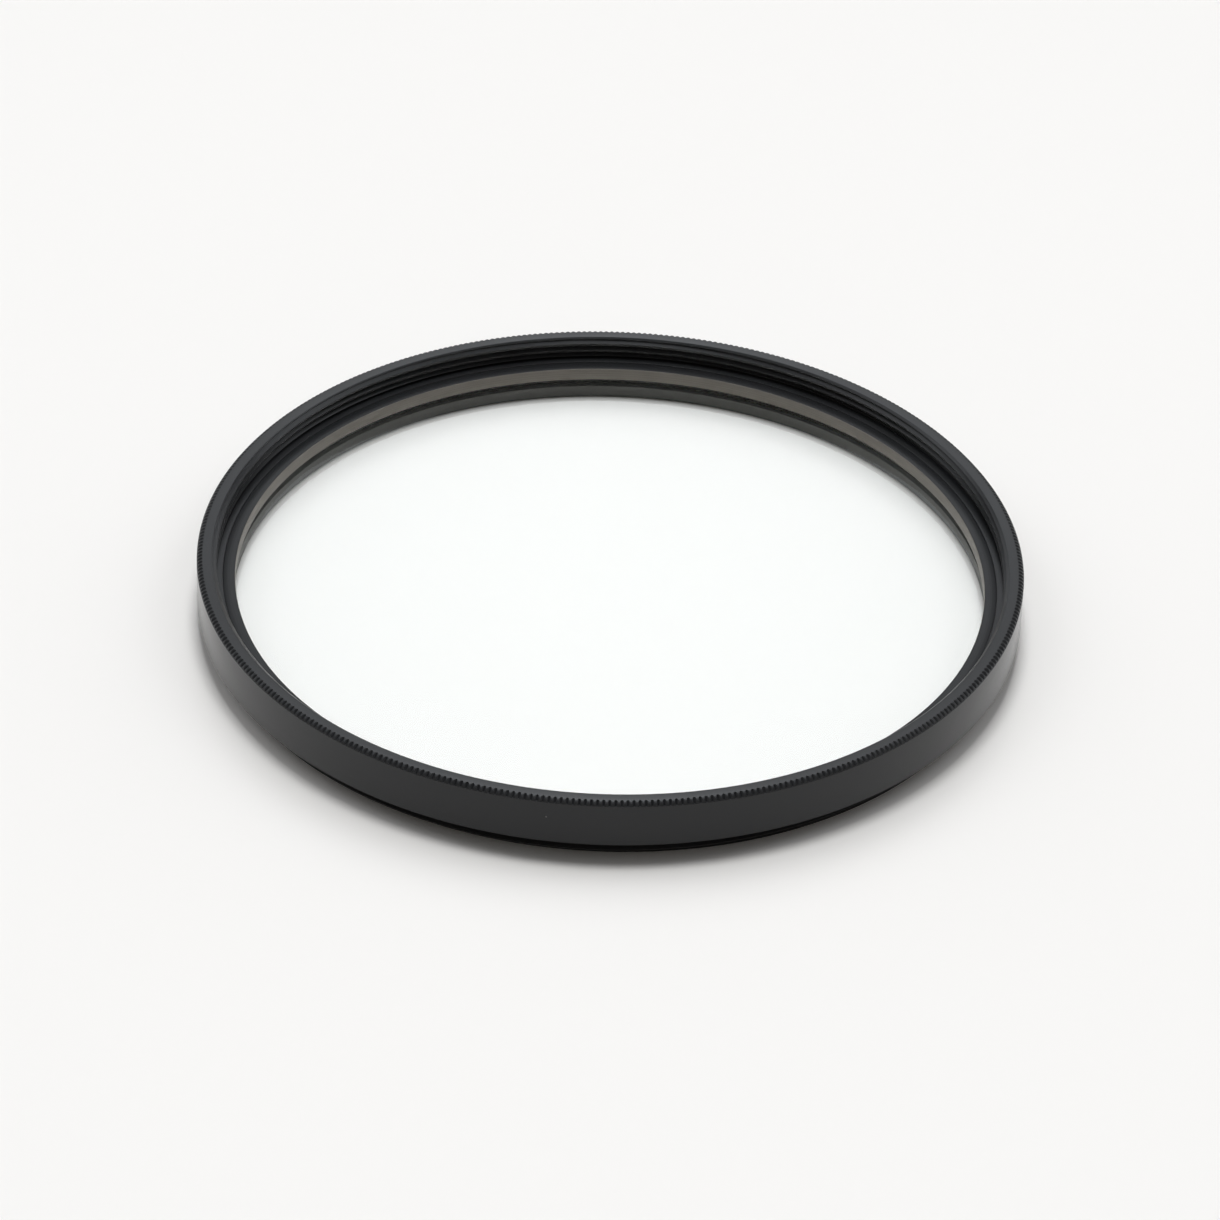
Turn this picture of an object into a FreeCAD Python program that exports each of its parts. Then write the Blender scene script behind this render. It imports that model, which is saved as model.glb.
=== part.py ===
import FreeCAD, Part
import math
import os
import Sketcher

# A screw-in protective filter for a camera lens, in millimetres.
# The origin is the middle of the rear face and +Z is the optical axis, towards the front.
# Three pieces: the turned ring that carries the threads, the clear glass on its seat in the
# ring, and the plain ring pressed in above the glass.

# Sizes that can be set, with what each one is.
SIZES = (
    ("thread_diameter", 77.0, "nominal size of the front and the rear thread"),
    ("frame_height", 7.0, "rear face to front rim"),
    ("ring_wall", 1.5, "nominal radius of the threads to the smooth wall"),
    ("thread_pitch", 0.75, "pitch of both threads"),
    ("rear_thread_length", 2.1, "rear face to the shoulder"),
    ("rear_lead_chamfer", 0.3, "lead-in at the start of the rear thread"),
    ("relief_width", 0.3, "undercut between the rear thread and the shoulder"),
    ("shoulder_break", 0.12, "broken edge round the shoulder"),
    ("knurl_band_width", 0.58, "radial width of the rounded front corner"),
    ("knurl_band_height", 0.38, "height of the rounded front corner"),
    ("knurl_step", 0.03, "small ledge between the wall and the notched corner"),
    ("knurl_pitch", 0.565, "notch to notch round the outside"),
    ("notch_width", 0.4, "widest part of one notch"),
    ("notch_depth", 0.13, "deepest part of one notch, at the middle of the corner"),
    ("crown_back", 0.3, "plain rim that carries the notched corner"),
    ("rim_chamfer", 0.47, "lead-in at the start of the front thread"),
    ("front_relief_width", 0.35, "groove that ends the front thread"),
    ("front_relief_depth", 0.05, "how far that groove goes past the thread's root"),
    ("seat_height", 1.32, "rear face to the seat that carries the glass"),
    ("seat_width", 0.8, "how far the seat reaches in under the glass"),
    ("seat_bore_break", 0.15, "broken edge at the rear of the opening"),
    ("glass_inset", 1.1, "nominal radius of the threads to the edge of the glass"),
    ("glass_thickness", 2.0, "plane parallel glass"),
    ("glass_bevel", 0.15, "ground bevel on both edges of the glass"),
    ("glass_play", 0.1, "clearance round the glass"),
    ("retainer_width", 1.18, "radial width of the pressed ring"),
    ("retainer_height", 1.28, "height of the pressed ring"),
    ("retainer_play", 0.02, "clearance round the pressed ring"),
    ("retainer_sink", 0.05, "how far the pressed ring lies below the relief groove"),
    ("retainer_lead", 0.2, "lead-in below the pressed ring's outer edge"),
    ("retainer_break", 0.06, "broken edge round the pressed ring's opening"),
)

# Depth of the standard metric thread form, as a share of the pitch.
FRONT_THREAD_FORM = 0.5413
REAR_THREAD_FORM = 0.6134

# Radii and heights that follow from the sizes, as expressions on the sheet.
THREAD_CREST = "Sizes.thread_diameter / 2"
WALL = THREAD_CREST + " + Sizes.ring_wall"
REAR_THREAD_DEPTH = "%s * Sizes.thread_pitch" % REAR_THREAD_FORM
THREAD_BORE = THREAD_CREST + " - %s * Sizes.thread_pitch" % FRONT_THREAD_FORM
RELIEF = THREAD_CREST + " - " + REAR_THREAD_DEPTH
GLASS_EDGE = THREAD_CREST + " - Sizes.glass_inset"
POCKET = GLASS_EDGE + " + Sizes.glass_play"
SEAT_BORE = GLASS_EDGE + " - Sizes.seat_width"
GLASS_TOP = "Sizes.seat_height + Sizes.glass_thickness"
RETAINER_EDGE = POCKET + " - Sizes.retainer_play"
RETAINER_BORE = RETAINER_EDGE + " - Sizes.retainer_width"
FRONT_RELIEF = THREAD_CREST + " + Sizes.front_relief_depth"
KNURL_FOOT = "Sizes.frame_height - Sizes.knurl_band_height"
CROWN_ROOT = WALL + " - Sizes.knurl_band_width - Sizes.crown_back"

# Flat steps that make up the rounded corner.
CORNER_STEPS = 2


def add_sheet(doc):
    """Puts the driving sizes on a spreadsheet, one named cell each."""
    sheet = doc.addObject("Spreadsheet::Sheet", "Sizes")
    for row, (name, value, meaning) in enumerate(SIZES, start=1):
        sheet.set("A%d" % row, name.replace("_", " "))
        sheet.set("B%d" % row, str(value))
        sheet.setAlias("B%d" % row, name)
        sheet.set("C%d" % row, meaning)
    doc.recompute()
    return sheet


def add_body(doc, name):
    body = doc.addObject("PartDesign::Body", name)
    body.Label = name
    return body


def origin_plane(body, role):
    for feature in body.Origin.OriginFeatures:
        if feature.Role == role:
            return feature
    raise ValueError(role)


def add_sketch(body, name, role):
    sketch = body.newObject("Sketcher::SketchObject", name)
    sketch.AttachmentSupport = (origin_plane(body, role), [""])
    sketch.MapMode = "FlatFace"
    return sketch


def hold(sketch, kind, point, expression, name):
    """Fixes one coordinate of a sketch point at the value of an expression."""
    geometry, end = point
    value = float(sketch.evalExpression(expression))
    if abs(value) < 1e-9:
        axis = -2 if kind == "DistanceX" else -1
        sketch.addConstraint(Sketcher.Constraint("PointOnObject", geometry, end, axis))
        return
    index = sketch.addConstraint(Sketcher.Constraint(kind, -1, 1, geometry, end, value))
    sketch.renameConstraint(index, name)
    sketch.setExpression("Constraints." + name, expression)


def add_outline(sketch, corners):
    """Draws a closed outline of straight lines through corners that follow the sheet."""
    places = []
    for across, up in corners:
        x = float(sketch.evalExpression(across))
        y = float(sketch.evalExpression(up))
        places.append(FreeCAD.Vector(x, y, 0))
    count = len(places)
    for index in range(count):
        sketch.addGeometry(Part.LineSegment(places[index], places[(index + 1) % count]))
    for index in range(count):
        joint = Sketcher.Constraint("Coincident", index, 2, (index + 1) % count, 1)
        sketch.addConstraint(joint)
    for index, (across, up) in enumerate(corners):
        hold(sketch, "DistanceX", (index, 1), across, "across%d" % index)
        hold(sketch, "DistanceY", (index, 1), up, "up%d" % index)


def add_turning(body, name, corners):
    """Turns an outline, drawn as radius and height, round the optical axis."""
    sketch = add_sketch(body, name + "Section", "XZ_Plane")
    add_outline(sketch, corners)
    turning = body.newObject("PartDesign::Revolution", name)
    turning.Profile = sketch
    turning.ReferenceAxis = (sketch, ["V_Axis"])
    turning.Angle = 360
    return turning


def add_frame(doc):
    """The one-piece ring: rear thread, shoulder, wall, notched front corner, bore and seat."""
    turning = add_turned_ring(doc)
    crown = add_crown(doc)
    frame = doc.addObject("Part::Fuse", "Frame")
    frame.Label = "filter_frame"
    frame.Base = turning
    frame.Tool = crown
    frame.Refine = True
    return frame


def add_turned_ring(doc):
    """The ring as it leaves the lathe, with a square rebate where its front corner comes."""
    body = add_body(doc, "turned_ring")
    relief_end = "Sizes.rear_thread_length - Sizes.relief_width"
    groove_floor = GLASS_TOP + " + Sizes.retainer_height + Sizes.retainer_sink"
    thread_end = groove_floor + " + Sizes.front_relief_width"
    corners = (
        (SEAT_BORE + " + Sizes.seat_bore_break", "0"),
        (THREAD_CREST + " - Sizes.rear_lead_chamfer", "0"),
        (THREAD_CREST, "Sizes.rear_lead_chamfer"),
        (THREAD_CREST, relief_end + " - " + REAR_THREAD_DEPTH),
        (RELIEF, relief_end),
        (RELIEF, "Sizes.rear_thread_length"),
        (WALL + " - Sizes.shoulder_break", "Sizes.rear_thread_length"),
        (WALL, "Sizes.rear_thread_length + Sizes.shoulder_break"),
        (WALL, KNURL_FOOT),
        (CROWN_ROOT, KNURL_FOOT),
        (CROWN_ROOT, "Sizes.frame_height"),
        (THREAD_BORE + " + Sizes.rim_chamfer", "Sizes.frame_height"),
        (THREAD_BORE, "Sizes.frame_height - Sizes.rim_chamfer"),
        (THREAD_BORE, thread_end),
        (FRONT_RELIEF, thread_end),
        (FRONT_RELIEF, groove_floor),
        (POCKET, groove_floor),
        (POCKET, "Sizes.seat_height"),
        (SEAT_BORE, "Sizes.seat_height"),
        (SEAT_BORE, "Sizes.seat_bore_break"),
    )
    add_turning(body, "Turning", corners)
    return body


def wall_radius(sheet):
    return sheet.thread_diameter / 2 + sheet.ring_wall


def corner_profile(sheet):
    """Radius, height and half the notch width at each level of the rounded front corner.

    The notches are straight V cuts along the chord of the corner, so each one is as deep as
    the corner stands above that chord, and its outline runs to a point at both ends.
    """
    width = sheet.knurl_band_width
    height = sheet.knurl_band_height
    chord = math.hypot(width, height)
    foot = wall_radius(sheet) - sheet.knurl_step
    levels = []
    for step in range(CORNER_STEPS + 1):
        share = step / CORNER_STEPS
        rise = 4 * share * (1 - share)
        out = sheet.notch_depth * rise
        radius = foot - share * (width - sheet.knurl_step) + out * height / chord
        level = sheet.frame_height - (1 - share) * height + out * width / chord
        levels.append((radius, level, sheet.notch_width / 2 * rise))
    return levels


def place(out, aside, up, angle):
    """A point given square to the middle of its notch, turned to that notch's place."""
    across = out * math.cos(angle) - aside * math.sin(angle)
    along = out * math.sin(angle) + aside * math.cos(angle)
    return FreeCAD.Vector(across, along, up)


def flat_face(points):
    return Part.Face(Part.makePolygon(points + [points[0]]))


def ring_face(outline, radius, height):
    """A flat face between a closed outline and a circle inside it."""
    circle = Part.makeCircle(radius, FreeCAD.Vector(0, 0, height))
    rim = Part.makePolygon(outline + [outline[0]])
    return Part.makeFace([rim, Part.Wire(circle)], "Part::FaceMakerBullseye")


def add_crown(doc):
    """The rounded front corner with its notches, as one ring of flat lands and flanks."""
    sheet = doc.getObject("Sizes")
    levels = corner_profile(sheet)
    count = round(2 * math.pi * wall_radius(sheet) / sheet.knurl_pitch)
    turn = 2 * math.pi / count
    right = []
    left = []
    for index in range(count):
        middle = index * turn
        right.append([place(out, half, up, middle) for out, up, half in levels])
        left.append([place(out, -half, up, middle) for out, up, half in levels])
    faces = []
    for index in range(count):
        following = left[(index + 1) % count]
        faces.append(flat_face(right[index]))
        faces.append(flat_face(left[index]))
        for step in range(CORNER_STEPS):
            land = [right[index][step], following[step], following[step + 1], right[index][step + 1]]
            faces.append(flat_face(land))
    foot = sheet.frame_height - sheet.knurl_band_height
    root = wall_radius(sheet) - sheet.knurl_band_width - sheet.crown_back
    faces.append(ring_face([edge[0] for edge in right], root, foot))
    faces.append(ring_face([edge[-1] for edge in right], root, sheet.frame_height))
    inside = Part.makeCylinder(root, sheet.knurl_band_height, FreeCAD.Vector(0, 0, foot))
    faces.append(inside.Faces[0])
    shell = Part.makeShell(faces)
    shell.sewShape()
    crown = doc.addObject("Part::Feature", "knurled_crown")
    crown.Shape = Part.Solid(shell)
    return crown


def add_glass(doc):
    """The clear disc, ground flat on both faces, with a bevel round both edges."""
    body = add_body(doc, "glass_disc")
    sketch = add_sketch(body, "GlassOutline", "XY_Plane")
    radius = float(sketch.evalExpression(GLASS_EDGE))
    sketch.addGeometry(Part.Circle(FreeCAD.Vector(0, 0, 0), FreeCAD.Vector(0, 0, 1), radius))
    sketch.addConstraint(Sketcher.Constraint("Coincident", 0, 3, -1, 1))
    index = sketch.addConstraint(Sketcher.Constraint("Radius", 0, radius))
    sketch.renameConstraint(index, "edge")
    sketch.setExpression("Constraints.edge", GLASS_EDGE)
    disc = body.newObject("PartDesign::Pad", "Disc")
    disc.Profile = sketch
    disc.setExpression("Length", "Sizes.glass_thickness")
    doc.recompute()
    bevel = body.newObject("PartDesign::Chamfer", "Bevel")
    bevel.Base = (disc, ["Face%d" % face for face in flat_faces(disc.Shape)])
    bevel.setExpression("Size", "Sizes.glass_bevel")
    body.setExpression("Placement.Base.z", "Sizes.seat_height")
    return body


def flat_faces(shape):
    """Numbers of the faces that lie square to the optical axis."""
    return [n for n, face in enumerate(shape.Faces, start=1) if isinstance(face.Surface, Part.Plane)]


def add_retainer(doc):
    """The pressed ring that holds the glass down, drawn from the top of the glass."""
    body = add_body(doc, "retaining_ring")
    corners = (
        (RETAINER_BORE, "0"),
        (RETAINER_EDGE + " - Sizes.retainer_lead", "0"),
        (RETAINER_EDGE, "Sizes.retainer_lead"),
        (RETAINER_EDGE, "Sizes.retainer_height"),
        (RETAINER_BORE + " + Sizes.retainer_break", "Sizes.retainer_height"),
        (RETAINER_BORE, "Sizes.retainer_height - Sizes.retainer_break"),
    )
    add_turning(body, "RetainerTurning", corners)
    body.setExpression("Placement.Base.z", GLASS_TOP)
    return body


def check(doc, pieces):
    """Stops when any object of the document failed or a piece is not one sound solid."""
    for item in doc.Objects:
        if "Invalid" in item.State or "Error" in item.State:
            raise RuntimeError("%s failed: %s" % (item.Name, item.State))
    for piece in pieces:
        shape = piece.Shape
        if shape.isNull() or not shape.isValid():
            raise RuntimeError("%s has no sound shape" % piece.Label)
        if len(shape.Solids) != 1:
            raise RuntimeError("%s is not one solid" % piece.Label)


def main():
    doc = FreeCAD.newDocument("LensFilter")
    add_sheet(doc)
    pieces = [add_frame(doc), add_glass(doc), add_retainer(doc)]
    doc.recompute()
    check(doc, pieces)
    os.makedirs("parts", exist_ok=True)
    for piece in pieces:
        piece.Shape.exportStep(os.path.join("parts", piece.Label + ".step"))
        box = piece.Shape.BoundBox
        print("%s volume %.2f z %.3f to %.3f" % (piece.Label, piece.Shape.Volume, box.ZMin, box.ZMax))


main()
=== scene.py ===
import math
import bmesh
import bpy
from mathutils import Matrix, Vector


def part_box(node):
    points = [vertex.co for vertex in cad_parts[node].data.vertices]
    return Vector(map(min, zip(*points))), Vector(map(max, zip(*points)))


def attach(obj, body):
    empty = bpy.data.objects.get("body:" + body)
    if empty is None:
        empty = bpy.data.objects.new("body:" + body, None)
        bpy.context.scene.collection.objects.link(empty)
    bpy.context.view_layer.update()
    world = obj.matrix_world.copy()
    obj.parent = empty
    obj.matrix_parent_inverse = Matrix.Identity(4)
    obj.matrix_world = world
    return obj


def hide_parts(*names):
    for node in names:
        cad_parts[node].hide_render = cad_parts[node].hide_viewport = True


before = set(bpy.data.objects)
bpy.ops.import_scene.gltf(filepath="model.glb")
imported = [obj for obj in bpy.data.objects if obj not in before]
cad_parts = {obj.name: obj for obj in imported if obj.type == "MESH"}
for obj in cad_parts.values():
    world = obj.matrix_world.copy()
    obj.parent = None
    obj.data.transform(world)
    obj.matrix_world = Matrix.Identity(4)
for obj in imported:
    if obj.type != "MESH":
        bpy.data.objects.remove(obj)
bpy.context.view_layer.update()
print("frame loaded:", ", ".join(sorted(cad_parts)))

mm = 0.001
weldGap = 0.000001  # metres: vertices nearer than this are one
pickGap = 10 * weldGap  # a vertex this near to a place is the one meant
smoothAngle = 25  # degrees: flatter edges than this are shaded smooth


# Hand tools: picking, drawing an outline, turning it, cutting it

def workOn(piece):
    bpy.ops.object.select_all(action="DESELECT")
    bpy.context.view_layer.objects.active = piece
    piece.select_set(True)


def pick(piece, test):
    # in edit mode: the vertices that pass the test, and nothing else
    bpy.ops.mesh.select_mode(type="VERT")
    bpy.ops.mesh.select_all(action="DESELECT")
    mesh = bmesh.from_edit_mesh(piece.data)
    for vertex in mesh.verts:
        if test(vertex.co):
            vertex.select_set(True)
    mesh.select_flush(True)
    bmesh.update_edit_mesh(piece.data)


def turnPicked(angle):
    # with no window this operator turns the other way
    bpy.ops.transform.rotate(value=-angle, orient_axis="Z", center_override=(0, 0, 0))


def weld():
    bpy.ops.mesh.select_all(action="SELECT")
    bpy.ops.mesh.remove_doubles(threshold=weldGap)


def drawOutline(name, corners):
    # one point pushed from corner to corner in the XZ plane; a corner is radius, height, easing
    bpy.ops.object.select_all(action="DESELECT")
    bpy.ops.mesh.primitive_plane_add(size=mm, location=(0, 0, 0))
    piece = bpy.context.object
    piece.name = name
    piece.data.name = name
    places = [Vector((radius, 0, height)) * mm for radius, height, easing in corners]
    bpy.ops.object.mode_set(mode="EDIT")
    bpy.ops.mesh.select_mode(type="VERT")
    bpy.ops.mesh.merge(type="COLLAPSE")
    bpy.ops.transform.translate(value=places[0])
    for here, there in zip(places, places[1:] + places[:1]):
        bpy.ops.mesh.extrude_region_move(TRANSFORM_OT_translate={"value": there - here})
    weld()
    for size in sorted({easing for radius, height, easing in corners if easing}):
        eased = [place for place, corner in zip(places, corners) if corner[2] == size]
        pick(piece, lambda co: any((co - place).length < weldGap for place in eased))
        bpy.ops.mesh.bevel(offset=size * mm, offset_type="OFFSET", segments=2, affect="VERTICES")
    return piece


def turnOnLathe(piece, steps):
    # spins the outline right round the optical axis and closes it
    bpy.ops.mesh.select_all(action="SELECT")
    bpy.ops.mesh.spin(steps=steps, dupli=False, angle=math.tau, center=(0, 0, 0), axis=(0, 0, -1))
    weld()
    bpy.ops.mesh.normals_make_consistent(inside=False)
    bpy.ops.object.mode_set(mode="OBJECT")


def finishShape(piece):
    workOn(piece)
    bpy.ops.object.shade_smooth_by_angle(angle=math.radians(smoothAngle))


# The threaded ring: one turned piece with a notched front corner

ringSize = {
    "seatBore": 36.6,
    "seatBreak": 0.15,
    "seatHeight": 1.32,
    "pocket": 37.5,
    "wallInside": 39.97,  # everything past this radius is the smooth wall
    "ledge": 4.65,
    "grooveWidth": 0.35,
    "grooveRadius": 38.55,
    "frontCrest": 38.094,
    "threadRadius": 38.5,
    "rearRoot": 38.04,
    "pitch": 0.75,
    "rearLead": 0.3,
    "undercut": 1.8,
    "frontFirst": 0.4,  # middle of the front thread's first groove, above the ledge
    "frontGaps": (3 / 4, 1 / 8),  # the groove's width at the crest and at the root, in pitches
    "frontPast": -0.14,  # how far past the crest its cutter starts
    "rearFirst": -0.45,  # the same for the rear thread, from the rear face
    "rearGaps": (7 / 8, 1 / 6),
    "rearPast": 0.06,
    "rearRunOut": 0.25,  # what the rear thread rises by besides the undercut's height
    "shoulder": 2.1,
    "shoulderBreak": 0.12,
    "rimChamfer": 0.47,
    "knurlWidth": 0.58,
    "knurlHeight": 0.38,
    "knurlStep": 0.03,
    "notches": 445,
    "notchWidth": 0.4,
    "notchDepth": 0.17,
    "cornerSteps": 8,
    "easing": 0.02,
    "threadSteps": 360,  # facets in one turn of thread
    "skin": 0.0005,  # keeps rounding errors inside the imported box
}


def cornerArc(size, wall, height):
    # points along the rounded corner, each with the share of the notch's full width and depth
    # that it has and the way out of the corner; the arc runs level into the rim
    foot = Vector((wall - size["knurlStep"], height - size["knurlHeight"]))
    top = Vector((wall - size["knurlWidth"], height))
    along = (top - foot).normalized()
    out = Vector((along.y, -along.x))
    half = (top - foot).length / 2
    spread = math.asin(along.y)
    radius = half / along.y
    bulge = radius * (1 - math.cos(spread))
    points = []
    for step in range(size["cornerSteps"] + 1):
        angle = spread * (2 * step / size["cornerSteps"] - 1)
        rise = radius * (math.cos(angle) - 1) + bulge
        point = foot + along * (half + radius * math.sin(angle)) + out * rise
        points.append((point, math.sqrt(max(rise, 0) / bulge), out))
    return points


def ringOutline(size, wall, height, arc):
    fine = size["easing"]
    corners = [
        (size["seatBore"] + size["seatBreak"], 0, fine),
        (size["threadRadius"] - size["rearLead"], 0, fine),
        (size["threadRadius"], size["rearLead"], 0),
        (size["threadRadius"], size["undercut"] - size["threadRadius"] + size["rearRoot"], 0),
        (size["rearRoot"], size["undercut"], 0),
        (size["rearRoot"], size["shoulder"], 0),
        (wall - size["shoulderBreak"], size["shoulder"], fine),
        (wall, size["shoulder"] + size["shoulderBreak"], fine),
        (wall, height - size["knurlHeight"], 0),
    ]
    corners += [(point.x, point.y, 0) for point, share, out in arc]
    corners += [
        (size["frontCrest"] + size["rimChamfer"], height, fine),
        (size["frontCrest"], height - size["rimChamfer"], 0),
        (size["frontCrest"], size["ledge"] + size["grooveWidth"], 0),
        (size["grooveRadius"], size["ledge"] + size["grooveWidth"], 0),
        (size["grooveRadius"], size["ledge"], 0),
        (size["pocket"], size["ledge"], fine),
        (size["pocket"], size["seatHeight"], 0),
        (size["seatBore"], size["seatHeight"], fine),
        (size["seatBore"], size["seatBreak"], fine),
    ]
    return corners


def shapeNotch(piece, size, arc, turn):
    # the sector's columns: left edge, middle and right edge of a notch, then the next left edge
    third = turn / 3
    for point, share, out in arc:
        spread = share * size["notchWidth"] / 2 / point.x
        level = Vector((point.x, point.y)) * mm

        def column(angle):
            place = Vector((level.x * math.cos(angle), level.x * math.sin(angle), level.y))
            pick(piece, lambda co: (co - place).length < pickGap)

        column(-third)
        turnPicked(third - spread)
        column(third)
        turnPicked(spread - third)
        column(turn - third)
        turnPicked(third - spread)
        column(0)
        bpy.ops.transform.translate(value=Vector((out.x, 0, out.y)) * -share * size["notchDepth"] * mm)


def copyRound(count):
    # the one sector, copied all round and welded to a closed ring
    rest = math.tau - math.tau / count
    bpy.ops.mesh.select_all(action="SELECT")
    bpy.ops.mesh.spin(steps=count - 1, dupli=True, angle=rest, center=(0, 0, 0), axis=(0, 0, -1))
    weld()
    bpy.ops.mesh.normals_make_consistent(inside=False)
    bpy.ops.object.mode_set(mode="OBJECT")


def threadCutter(name, size, corners, rise):
    # a closed bar with the section of the thread's groove, wound up the axis
    cutter = drawOutline(name, corners)
    bpy.ops.object.mode_set(mode="OBJECT")
    winding = cutter.modifiers.new("winding", "SCREW")
    turns = rise / size["pitch"]
    winding.angle = math.tau * turns
    winding.screw_offset = rise * mm
    winding.steps = round(size["threadSteps"] * turns)
    winding.render_steps = winding.steps
    workOn(cutter)
    bpy.ops.object.modifier_apply(modifier=winding.name)
    bpy.ops.object.mode_set(mode="EDIT")
    bpy.ops.mesh.select_mode(type="EDGE")
    bpy.ops.mesh.select_all(action="DESELECT")
    bpy.ops.mesh.select_non_manifold()
    bpy.ops.mesh.fill_holes(sides=0)
    bpy.ops.mesh.select_all(action="SELECT")
    bpy.ops.mesh.normals_make_consistent(inside=False)
    bpy.ops.object.mode_set(mode="OBJECT")
    return cutter


def cutAway(piece, cutter):
    workOn(piece)
    cut = piece.modifiers.new("cut", "BOOLEAN")
    cut.operation = "DIFFERENCE"
    cut.solver = "MANIFOLD"
    cut.object = cutter
    bpy.ops.object.modifier_apply(modifier=cut.name)
    bpy.data.objects.remove(cutter)


def grooveSection(crest, root, middle, gaps, past):
    # the groove between two crests, drawn a little past them
    crestGap, rootGap = gaps
    slope = (crestGap - rootGap) / 2 / abs(root - crest)
    mouth = crest + past
    wide = rootGap / 2 + slope * abs(root - mouth)
    narrow = rootGap / 2
    return [
        (mouth, middle - wide, 0),
        (root, middle - narrow, 0),
        (root, middle + narrow, 0),
        (mouth, middle + wide, 0),
    ]


def makeThreadedRing(size):
    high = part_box("filter_frame")[1]
    wall = high.x / mm - size["skin"]
    height = high.z / mm - size["skin"]
    arc = cornerArc(size, wall, height)
    turn = math.tau / size["notches"]
    ring = drawOutline("threadedRing", ringOutline(size, wall, height, arc))
    bpy.ops.mesh.select_all(action="SELECT")
    turnPicked(-turn / 3)
    bpy.ops.mesh.spin(steps=3, dupli=False, angle=turn, center=(0, 0, 0), axis=(0, 0, -1))
    shapeNotch(ring, size, arc, turn)
    copyRound(size["notches"])
    for name, crest, root, first, rise in (
        ("front", size["frontCrest"], size["threadRadius"], size["ledge"] + size["frontFirst"],
         height - size["ledge"]),
        ("rear", size["threadRadius"], size["rearRoot"], size["rearFirst"],
         size["undercut"] + size["rearRunOut"]),
    ):
        gaps = [share * size["pitch"] for share in size[name + "Gaps"]]
        section = grooveSection(crest, root, first, gaps, size[name + "Past"])
        cutAway(ring, threadCutter(name + "Cutter", size, section, rise))
    finishShape(ring)
    return ring


threadedRing = makeThreadedRing(ringSize)
print("threaded ring:", len(threadedRing.data.polygons), "faces")


# The glass, ground round its edge and bevelled

discSize = {"segments": 720, "bevel": 0.15}


def makeClearDisc(size):
    low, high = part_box("glass_disc")
    bpy.ops.object.select_all(action="DESELECT")
    bpy.ops.mesh.primitive_cylinder_add(
        vertices=size["segments"], radius=high.x, depth=high.z - low.z, location=(0, 0, 0)
    )
    disc = bpy.context.object
    disc.name = "clearDisc"
    disc.data.name = "clearDisc"
    bpy.ops.object.mode_set(mode="EDIT")
    bpy.ops.mesh.select_all(action="SELECT")
    bpy.ops.transform.translate(value=(0, 0, (low.z + high.z) / 2))
    bpy.ops.mesh.select_mode(type="FACE")
    bpy.ops.mesh.select_all(action="DESELECT")
    mesh = bmesh.from_edit_mesh(disc.data)
    for face in mesh.faces:
        face.select_set(abs(face.normal.z) > 0.5)
    bmesh.update_edit_mesh(disc.data)
    bpy.ops.mesh.bevel(offset=size["bevel"] * mm, offset_type="OFFSET", segments=1, affect="EDGES")
    bpy.ops.mesh.select_all(action="SELECT")
    bpy.ops.mesh.normals_make_consistent(inside=False)
    bpy.ops.object.mode_set(mode="OBJECT")
    finishShape(disc)
    return disc


clearDisc = makeClearDisc(discSize)
print("clear disc:", len(clearDisc.data.polygons), "faces")


# The ring pressed in above the glass

pressedSize = {
    "bore": 36.3,
    "lead": 0.2,
    "break": 0.06,
    "easing": 0.02,
    "steps": 720,
}


def makePressedRing(size):
    low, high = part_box("retaining_ring")
    edge = high.x / mm
    foot = low.z / mm
    top = high.z / mm
    fine = size["easing"]
    ring = drawOutline("pressedRing", [
        (size["bore"], foot, fine),
        (edge - size["lead"], foot, fine),
        (edge, foot + size["lead"], fine),
        (edge, top, fine),
        (size["bore"] + size["break"], top, fine),
        (size["bore"], top - size["break"], fine),
    ])
    turnOnLathe(ring, size["steps"])
    finishShape(ring)
    return ring


pressedRing = makePressedRing(pressedSize)
print("pressed ring:", len(pressedRing.data.polygons), "faces")


# Shared effects as node groups

effectSize = {
    "dimpleSoftness": 0.6,
    "patchWidth": 9,  # mm: the grain's uneven patches
    "wobbleScale": 4,  # per mm: what makes a speck's outline uneven
    "wobble": 0.1,
    "leastSpeck": 0.4,  # added to a speck's share of the full size
}


def newGroup(name, inputs, outputs):
    group = bpy.data.node_groups.new(name, "ShaderNodeTree")
    for socketName, kind, value in inputs:
        socket = group.interface.new_socket(name=socketName, in_out="INPUT", socket_type=kind)
        if value is not None:
            socket.default_value = value
    for socketName, kind in outputs:
        group.interface.new_socket(name=socketName, in_out="OUTPUT", socket_type=kind)
    start = group.nodes.new("NodeGroupInput")
    end = group.nodes.new("NodeGroupOutput")
    return group, start, end


def addMath(tree, operation, first, second=None, third=None):
    node = tree.nodes.new("ShaderNodeMath")
    node.operation = operation
    for index, value in enumerate((first, second, third)):
        if value is None:
            continue
        if isinstance(value, (int, float)):
            node.inputs[index].default_value = value
        else:
            tree.links.new(value, node.inputs[index])
    return node.outputs[0]


def addNoise(tree, place, scale, detail, dimensions="3D"):
    node = tree.nodes.new("ShaderNodeTexNoise")
    node.noise_dimensions = dimensions
    tree.links.new(place, node.inputs["W" if dimensions == "1D" else "Vector"])
    if isinstance(scale, (int, float)):
        node.inputs["Scale"].default_value = scale
    else:
        tree.links.new(scale, node.inputs["Scale"])
    node.inputs["Detail"].default_value = detail
    return node.outputs["Fac"]


def distanceFromAxis(tree, place):
    split = tree.nodes.new("ShaderNodeSeparateXYZ")
    tree.links.new(place, split.inputs[0])
    square = addMath(tree, "MULTIPLY", split.outputs["X"], split.outputs["X"])
    square = addMath(tree, "MULTIPLY_ADD", split.outputs["Y"], split.outputs["Y"], square)
    return addMath(tree, "SQRT", square)


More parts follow.
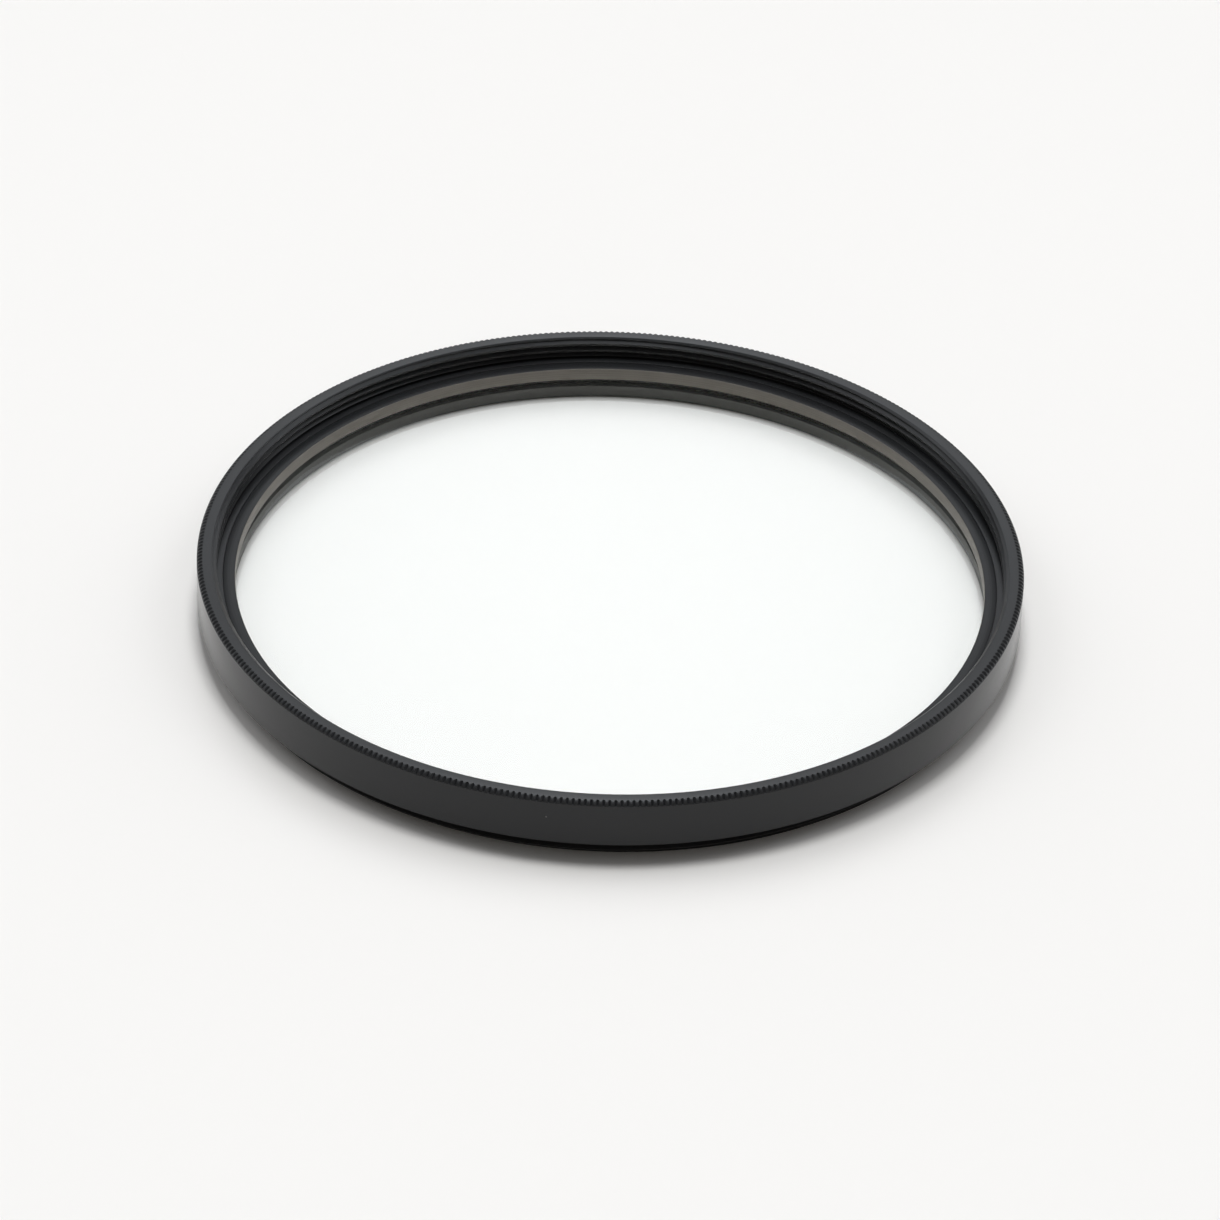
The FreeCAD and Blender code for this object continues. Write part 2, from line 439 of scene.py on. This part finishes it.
def makeTurningMarks():
    # fine rings left by the tool, which follow the radius on a face and the height on a wall
    group, start, end = newGroup(
        "turningMarks",
        [("Vector", "NodeSocketVector", None), ("Lines per mm", "NodeSocketFloat", 12.0)],
        [("Height", "NodeSocketFloat")],
    )
    split = group.nodes.new("ShaderNodeSeparateXYZ")
    group.links.new(start.outputs["Vector"], split.inputs[0])
    away = distanceFromAxis(group, start.outputs["Vector"])
    along = addMath(group, "SUBTRACT", away, split.outputs["Z"])
    scale = addMath(group, "MULTIPLY", start.outputs["Lines per mm"], 1 / mm)
    lines = addMath(group, "MULTIPLY", along, scale)
    group.links.new(addNoise(group, lines, 1.0, 3.0, "1D"), end.inputs["Height"])
    return group


def makeBlastGrain():
    # the peened surface under the anodising: close round dimples of uneven depth
    group, start, end = newGroup(
        "blastGrain",
        [("Vector", "NodeSocketVector", None), ("Grain mm", "NodeSocketFloat", 0.09)],
        [("Height", "NodeSocketFloat"), ("Patch", "NodeSocketFloat")],
    )
    scale = addMath(group, "DIVIDE", 1 / mm, start.outputs["Grain mm"])
    dimples = group.nodes.new("ShaderNodeTexVoronoi")
    dimples.feature = "SMOOTH_F1"
    dimples.inputs["Smoothness"].default_value = effectSize["dimpleSoftness"]
    group.links.new(start.outputs["Vector"], dimples.inputs["Vector"])
    group.links.new(scale, dimples.inputs["Scale"])
    rough = addNoise(group, start.outputs["Vector"], scale, 2.0)
    group.links.new(addMath(group, "ADD", dimples.outputs["Distance"], rough), end.inputs["Height"])
    patch = addNoise(group, start.outputs["Vector"], 1 / (effectSize["patchWidth"] * mm), 3.0)
    group.links.new(patch, end.inputs["Patch"])
    return group


def makeLooseDust():
    # a few pale specks, far apart
    group, start, end = newGroup(
        "looseDust",
        [("Vector", "NodeSocketVector", None), ("Spacing mm", "NodeSocketFloat", 2.2),
         ("Share", "NodeSocketFloat", 0.1), ("Size", "NodeSocketFloat", 0.03)],
        [("Speck", "NodeSocketFloat")],
    )
    wobble = group.nodes.new("ShaderNodeTexNoise")
    wobble.inputs["Scale"].default_value = effectSize["wobbleScale"] / mm
    group.links.new(start.outputs["Vector"], wobble.inputs["Vector"])
    shift = group.nodes.new("ShaderNodeVectorMath")
    shift.operation = "MULTIPLY_ADD"
    group.links.new(wobble.outputs["Color"], shift.inputs[0])
    shift.inputs[1].default_value = [effectSize["wobble"] * mm] * 3
    group.links.new(start.outputs["Vector"], shift.inputs[2])
    cells = group.nodes.new("ShaderNodeTexVoronoi")
    group.links.new(shift.outputs[0], cells.inputs["Vector"])
    scale = addMath(group, "DIVIDE", 1 / mm, start.outputs["Spacing mm"])
    group.links.new(scale, cells.inputs["Scale"])
    chance = group.nodes.new("ShaderNodeSeparateColor")
    group.links.new(cells.outputs["Color"], chance.inputs[0])
    chosen = addMath(group, "LESS_THAN", chance.outputs[0], start.outputs["Share"])
    share = addMath(group, "ADD", chance.outputs[1], effectSize["leastSpeck"])
    reach = addMath(group, "MULTIPLY", start.outputs["Size"], share)
    near = addMath(group, "LESS_THAN", cells.outputs["Distance"], reach)
    group.links.new(addMath(group, "MULTIPLY", chosen, near), end.inputs["Speck"])
    return group


turningMarks = makeTurningMarks()
blastGrain = makeBlastGrain()
looseDust = makeLooseDust()
print("shared effects made")


# Finishes

grainWidth = 0.09  # mm, of both anodised pieces
patchEnds = (0.3, 0.7)  # the noise's usual ends, for roughness and streaks

frameFinish = {
    "colour": (0.0135, 0.0140, 0.0150, 1),
    "paleColour": (0.0170, 0.0175, 0.0186, 1),
    # painted shade: the wall's colour is darker than the frame's other faces, to take back light the
    # horizon glow throws on it
    "shadedWallColour": (0.0026, 0.0032, 0.0048, 1),
    # painted light: the seat is paler than black anodising, for the floor light on it seen through the
    # glass
    "litSeatColour": (0.108, 0.111, 0.105, 1),
    # painted light: the pocket is painted pale for the light the ground glass edge in front of it
    # scatters
    "litPocketColour": (0.30, 0.30, 0.28, 1),  # seen only through the glass's edge
    "pocketTop": 3.0,  # the pale stretch ends here, a little below the glass's top face
    "pocketGap": 0.01,
    "dustColour": (0.16, 0.155, 0.15, 1),
    "dust": {"Spacing mm": 2.6, "Share": 0.08, "Size": 0.025},
    "colourEnds": (0.35, 0.65),
    "roughness": (0.30, 0.35),
    "wallRoughness": (0.14, 0.17),
    "index": 1.43,
    "anisotropy": 0.85,
    "anisotropyTurn": 0.25,  # a quarter turn, for light spreads square to the marks
    "lines": 14.0,
    "grainHeight": 0.0010,
    "markHeight": 0.0004,
}
pressedFinish = {
    "colour": (0.0140, 0.0144, 0.0152, 1),
    "paleColour": (0.0190, 0.0194, 0.0202, 1),
    # painted light: the bore's colours are paler and warmer for the floor light it catches through the
    # glass
    "litBoreColour": (0.170, 0.157, 0.139, 1),
    "paleLitBoreColour": (0.200, 0.186, 0.166, 1),
    "roughness": (0.34, 0.40),
    "index": 1.29,
    "lines": 9.0,
    "markHeight": 0.0005,
    "boreFade": 0.02,
}
glassFinish = {
    "colour": (0.955, 0.961, 0.958, 1),
    "coating": (0.05, 0.08, 0.065, 1),  # what the coating leaves of the reflection
    "shadowColour": (0.985, 0.99, 0.987, 1),
    "index": 1.38,  # below bare glass's, for the coating cuts the glancing reflection too
    "groundRoughness": 0.55,
    "groundMargin": 1.02,  # takes in the bevels' inner edge
}


def newMaterial(name):
    material = bpy.data.materials.new(name)
    material.use_nodes = True
    tree = material.node_tree
    place = tree.nodes.new("ShaderNodeTexCoord").outputs["Object"]
    return material, tree, tree.nodes["Principled BSDF"], place


def placeGroup(tree, group, place, values):
    node = tree.nodes.new("ShaderNodeGroup")
    node.node_tree = group
    tree.links.new(place, node.inputs["Vector"])
    for name, value in values.items():
        node.inputs[name].default_value = value
    return node


def mixColours(tree, factor, first, second):
    node = tree.nodes.new("ShaderNodeMix")
    node.data_type = "RGBA"
    tree.links.new(factor, node.inputs["Factor"])
    for socket, value in ((node.inputs["A"], first), (node.inputs["B"], second)):
        if isinstance(value, tuple):
            socket.default_value = value
        else:
            tree.links.new(value, socket)
    return node.outputs["Result"]


def mapRange(tree, value, low, high, start, end, kind="LINEAR"):
    node = tree.nodes.new("ShaderNodeMapRange")
    node.interpolation_type = kind
    tree.links.new(value, node.inputs["Value"])
    node.inputs["From Min"].default_value = low
    node.inputs["From Max"].default_value = high
    node.inputs["To Min"].default_value = start
    node.inputs["To Max"].default_value = end
    return node.outputs["Result"]


def addBump(tree, shader, height, depth, before=None):
    node = tree.nodes.new("ShaderNodeBump")
    node.inputs["Strength"].default_value = 1.0
    node.inputs["Distance"].default_value = depth * mm
    tree.links.new(height, node.inputs["Height"])
    if before:
        tree.links.new(before, node.inputs["Normal"])
    tree.links.new(node.outputs["Normal"], shader.inputs["Normal"])
    return node.outputs["Normal"]


def makeFrameFinish(finish):
    material, tree, shader, place = newMaterial("satinBlackAnodising")
    grain = placeGroup(tree, blastGrain, place, {"Grain mm": grainWidth})
    marks = placeGroup(tree, turningMarks, place, {"Lines per mm": finish["lines"]})
    dust = placeGroup(tree, looseDust, place, finish["dust"])
    patch = grain.outputs["Patch"]
    away = distanceFromAxis(tree, place)
    uneven = mapRange(tree, patch, *finish["colourEnds"], 0, 1)
    black = mixColours(tree, uneven, finish["colour"], finish["paleColour"])
    # the wall: painted shade in its colour, and its own smoother roughness
    wall = addMath(tree, "GREATER_THAN", away, ringSize["wallInside"] * mm)
    black = mixColours(tree, wall, black, finish["shadedWallColour"])
    split = tree.nodes.new("ShaderNodeSeparateXYZ")
    tree.links.new(place, split.inputs[0])
    low = addMath(tree, "LESS_THAN", split.outputs["Z"], finish["pocketTop"] * mm)
    near = addMath(tree, "LESS_THAN", away, (ringSize["pocket"] + finish["pocketGap"]) * mm)
    pocket = addMath(tree, "MULTIPLY", low, near)
    # painted light: the seat and the pocket are painted pale for the light they show through the glass
    seat = addMath(tree, "LESS_THAN", away, (ringSize["pocket"] - finish["pocketGap"]) * mm)
    litInside = mixColours(tree, pocket, black, finish["litPocketColour"])
    litInside = mixColours(tree, seat, litInside, finish["litSeatColour"])
    dusty = mixColours(tree, dust.outputs["Speck"], litInside, finish["dustColour"])
    tree.links.new(dusty, shader.inputs["Base Color"])
    rough = mapRange(tree, patch, *patchEnds, *finish["roughness"])
    smooth = mapRange(tree, patch, *patchEnds, *finish["wallRoughness"])
    node = tree.nodes.new("ShaderNodeMix")
    tree.links.new(wall, node.inputs["Factor"])
    tree.links.new(rough, node.inputs["A"])
    tree.links.new(smooth, node.inputs["B"])
    tree.links.new(node.outputs["Result"], shader.inputs["Roughness"])
    shader.inputs["IOR"].default_value = finish["index"]
    shader.inputs["Anisotropic"].default_value = finish["anisotropy"]
    shader.inputs["Anisotropic Rotation"].default_value = finish["anisotropyTurn"]
    lay = tree.nodes.new("ShaderNodeTangent")  # the lathe's marks run round the axis
    lay.direction_type = "RADIAL"
    lay.axis = "Z"
    tree.links.new(lay.outputs["Tangent"], shader.inputs["Tangent"])
    normal = addBump(tree, shader, grain.outputs["Height"], finish["grainHeight"])
    addBump(tree, shader, marks.outputs["Height"], finish["markHeight"], normal)
    return material


def makePressedFinish(finish):
    # its bore is painted paler and warmer than its face: painted light, for the floor light it catches
    # through the glass
    material, tree, shader, place = newMaterial("turnedBlackAnodising")
    edge = (pressedSize["bore"] + pressedSize["break"] / 2) * mm
    marks = placeGroup(tree, turningMarks, place, {"Lines per mm": finish["lines"]})
    grain = placeGroup(tree, blastGrain, place, {"Grain mm": grainWidth})
    streak = mapRange(tree, marks.outputs["Height"], *patchEnds, 0, 1)
    face = mixColours(tree, streak, finish["colour"], finish["paleColour"])
    # painted light in the bore's colour
    bore = mixColours(tree, streak, finish["litBoreColour"], finish["paleLitBoreColour"])
    past = edge + finish["boreFade"] * mm
    inside = mapRange(tree, distanceFromAxis(tree, place), edge, past, 1, 0)
    tree.links.new(mixColours(tree, inside, face, bore), shader.inputs["Base Color"])
    rough = mapRange(tree, grain.outputs["Patch"], *patchEnds, *finish["roughness"])
    tree.links.new(rough, shader.inputs["Roughness"])
    shader.inputs["IOR"].default_value = finish["index"]
    addBump(tree, shader, marks.outputs["Height"], finish["markHeight"])
    return material


def makeGlassFinish(finish):
    # clear inside; the ground edge and its bevels are matt, told by their distance from the axis
    material, tree, shader, place = newMaterial("coatedClearGlass")
    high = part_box("glass_disc")[1]
    inner = high.x - discSize["bevel"] * mm * finish["groundMargin"]
    ground = addMath(tree, "GREATER_THAN", distanceFromAxis(tree, place), inner)
    rough = mapRange(tree, ground, 0, 1, 0, finish["groundRoughness"])
    tree.links.new(rough, shader.inputs["Roughness"])
    shader.inputs["Base Color"].default_value = finish["colour"]
    shader.inputs["IOR"].default_value = finish["index"]
    shader.inputs["Transmission Weight"].default_value = 1.0
    shader.inputs["Specular Tint"].default_value = finish["coating"]
    clear = tree.nodes.new("ShaderNodeBsdfTransparent")
    clear.inputs["Color"].default_value = finish["shadowColour"]
    # light that lands on other things goes straight through
    path = tree.nodes.new("ShaderNodeLightPath").outputs
    landing = addMath(tree, "MAXIMUM", path["Is Shadow Ray"], path["Is Diffuse Ray"])
    bounced = addMath(tree, "SUBTRACT", path["Is Glossy Ray"], path["Is Transmission Ray"])
    mix = tree.nodes.new("ShaderNodeMixShader")
    tree.links.new(addMath(tree, "MAXIMUM", landing, bounced), mix.inputs["Fac"])
    tree.links.new(shader.outputs["BSDF"], mix.inputs[1])
    tree.links.new(clear.outputs["BSDF"], mix.inputs[2])
    tree.links.new(mix.outputs["Shader"], tree.nodes["Material Output"].inputs["Surface"])
    return material


def dress(piece, material):
    piece.data.materials.clear()
    piece.data.materials.append(material)


dress(threadedRing, makeFrameFinish(frameFinish))
dress(pressedRing, makePressedFinish(pressedFinish))
dress(clearDisc, makeGlassFinish(glassFinish))
print("finishes on")


# What each piece stands for

for piece, node, slot in (
    (threadedRing, "filter_frame", "frame_anodising"),
    (clearDisc, "glass_disc", "coated_glass"),
    (pressedRing, "retaining_ring", "retainer_anodising"),
):
    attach(piece, "root")
    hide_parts(node)


# Floor, light and camera

studio = {
    "floorSize": 3.0,
    "floorDrop": 0.00001,
    "floorColour": (0.90, 0.87, 0.835, 1),
    "glow": (0.55, 0.50, 0.43, 1),  # the far table and the room at the horizon
    "glowTop": (0.1, 0.32),  # the two ends of a fade, as most pairs below
    "tentLow": (0.070, 0.066, 0.062, 1),
    "tentHigh": (0.29, 0.30, 0.312, 1),
    "tentRise": (0.3, 0.9),
    "panel": (4.2, 4.35, 4.55, 1),  # the lit panel above and behind
    "panelFoot": (0.42, 0.76),  # sine of the height from which it starts and is full
    "panelSide": (0.0, 0.27),  # how far aside it is full and ends
    "panelFront": (0.0, 0.15),  # how far behind it starts and is full
    "bank": (1.65, 1.7, 1.77, 1),  # the soft side lights, a little behind the part
    "bankFoot": (0.12, 0.35),
    "bankSide": (0.3, 0.5),
    "bankFront": (-0.12, 0.03),
    "bankBack": (0.3, 0.6),
    "bankLean": (0.9, 0.6),  # the lower it reaches, the further back
    "bankEdge": (-0.12, 0.12),
    "card": (0.85, 0.88, 0.92, 1),  # the low side cards behind
    "cardTop": (0.2, 0.42),
    "cardSide": (0.25, 0.5),
    "cardFront": (0.0, 0.4),
    "backdrop": (0.935, 0.935, 0.935, 1),
    "lampTilt": 2.7,  # degrees from straight above, towards the back
    "lampDistance": 1.0,
    "lampSize": (0.31, 0.20),
    "lampPower": 4.0,
    "lampColour": (0.96, 0.985, 1.0),
}


def makeFloor(size):
    bpy.ops.object.select_all(action="DESELECT")
    bpy.ops.mesh.primitive_plane_add(size=size["floorSize"], location=(0, 0, -size["floorDrop"]))
    floor = bpy.context.object
    floor.name = "floor"
    material, tree, shader, place = newMaterial("paleFloor")
    shader.inputs["Base Color"].default_value = size["floorColour"]
    shader.inputs["Roughness"].default_value = 1.0
    shader.inputs["Specular IOR Level"].default_value = 0.0
    clear = tree.nodes.new("ShaderNodeBsdfTransparent")
    side = tree.nodes.new("ShaderNodeNewGeometry")
    mix = tree.nodes.new("ShaderNodeMixShader")  # seen from below it isn't there
    tree.links.new(side.outputs["Backfacing"], mix.inputs["Fac"])
    tree.links.new(shader.outputs["BSDF"], mix.inputs[1])
    tree.links.new(clear.outputs["BSDF"], mix.inputs[2])
    tree.links.new(mix.outputs["Shader"], tree.nodes["Material Output"].inputs["Surface"])
    floor.data.materials.append(material)


def makeLight(size):
    # a dim tent that glows at the horizon, with a lit panel above and behind, a soft bank
    # and a low card on each side, and a lamp overhead
    world = bpy.data.worlds.new("softTent")
    world.use_nodes = True
    tree = world.node_tree
    way = tree.nodes.new("ShaderNodeSeparateXYZ")
    tree.links.new(tree.nodes.new("ShaderNodeTexCoord").outputs["Generated"], way.inputs[0])
    aside = addMath(tree, "ABSOLUTE", way.outputs["X"])

    def fade(value, ends, start, end):
        return mapRange(tree, value, ends[0], ends[1], start, end, "SMOOTHSTEP")

    def shared(first, second, third):
        return addMath(tree, "MULTIPLY", addMath(tree, "MULTIPLY", first, second), third)

    card = shared(
        fade(way.outputs["Z"], size["cardTop"], 1, 0),
        fade(aside, size["cardSide"], 0, 1),
        fade(way.outputs["Y"], size["cardFront"], 0, 1),
    )
    panel = shared(
        fade(way.outputs["Z"], size["panelFoot"], 0, 1),
        fade(aside, size["panelSide"], 1, 0),
        fade(way.outputs["Y"], size["panelFront"], 0, 1),
    )
    bank = shared(
        fade(way.outputs["Z"], size["bankFoot"], 0, 1),
        fade(aside, size["bankSide"], 0, 1),
        fade(way.outputs["Y"], size["bankFront"], 0, 1),
    )
    lean, start = size["bankLean"]
    behind = addMath(tree, "ADD", addMath(tree, "MULTIPLY_ADD", aside, -lean, start), way.outputs["Y"])
    leaning = fade(behind, size["bankEdge"], 0, 1)
    bank = shared(bank, fade(way.outputs["Y"], size["bankBack"], 1, 0), leaning)
    rise = fade(way.outputs["Z"], size["tentRise"], 0, 1)
    tent = mixColours(tree, rise, size["tentLow"], size["tentHigh"])
    glow = fade(way.outputs["Z"], size["glowTop"], 1, 0)
    tent = mixColours(tree, glow, tent, size["glow"])
    tent = mixColours(tree, card, tent, size["card"])
    tent = mixColours(tree, bank, tent, size["bank"])
    tent = mixColours(tree, panel, tent, size["panel"])
    path = tree.nodes.new("ShaderNodeLightPath").outputs
    seen = addMath(tree, "MAXIMUM", path["Is Camera Ray"], path["Is Transmission Ray"])
    sky = mixColours(tree, seen, tent, size["backdrop"])
    tree.links.new(sky, tree.nodes["Background"].inputs["Color"])
    bpy.context.scene.world = world
    tilt = math.radians(size["lampTilt"])
    place = Vector((0, math.sin(tilt), math.cos(tilt))) * size["lampDistance"]
    bpy.ops.object.light_add(type="AREA", location=place, rotation=(-tilt, 0, 0))
    lamp = bpy.context.object
    lamp.name = "overheadLamp"
    lamp.data.shape = "ELLIPSE"
    lamp.data.size, lamp.data.size_y = size["lampSize"]
    lamp.data.energy = size["lampPower"]
    lamp.data.color = size["lampColour"]
    lamp.visible_camera = False
    lamp.visible_glossy = False  # it lights the floor without a glint on every edge


cameraLook = {
    "photoSize": 1220,  # pixels each way
    "ringCentre": (610.89, 554.44),  # pixel that the middle of the front rim falls on
    "elevation": 34.886,
    "roll": 2.011,
    "distance": 645.14,
    "lens": 196.77,
    "sensor": 36.0,
    "nearest": 0.01,
}


def makeCamera(look):
    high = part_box("filter_frame")[1]
    tilt = math.radians(look["elevation"])
    away = Vector((0, -math.cos(tilt), math.sin(tilt))) * look["distance"] * mm
    focal = look["lens"] / look["sensor"] * look["photoSize"]
    middle = look["photoSize"] / 2
    across = look["ringCentre"][0] - middle
    down = look["ringCentre"][1] - middle
    aside = Vector((across, -down, -focal)).rotation_difference(Vector((0, 0, -1)))
    roll = Matrix.Rotation(math.radians(look["roll"]), 4, "Z")
    turn = Matrix.Rotation(math.pi / 2 - tilt, 4, "X") @ roll @ aside.to_matrix().to_4x4()
    bpy.ops.object.camera_add()
    camera = bpy.context.object
    camera.name = "photoCamera"
    camera.data.lens = look["lens"]
    camera.data.sensor_width = look["sensor"]
    camera.data.clip_start = look["nearest"]
    camera.matrix_world = Matrix.Translation(Vector((0, 0, high.z)) + away) @ turn
    bpy.context.scene.camera = camera


makeFloor(studio)
makeLight(studio)
makeCamera(cameraLook)
bpy.context.scene.view_settings.view_transform = "Standard"
print("floor, light and camera set")
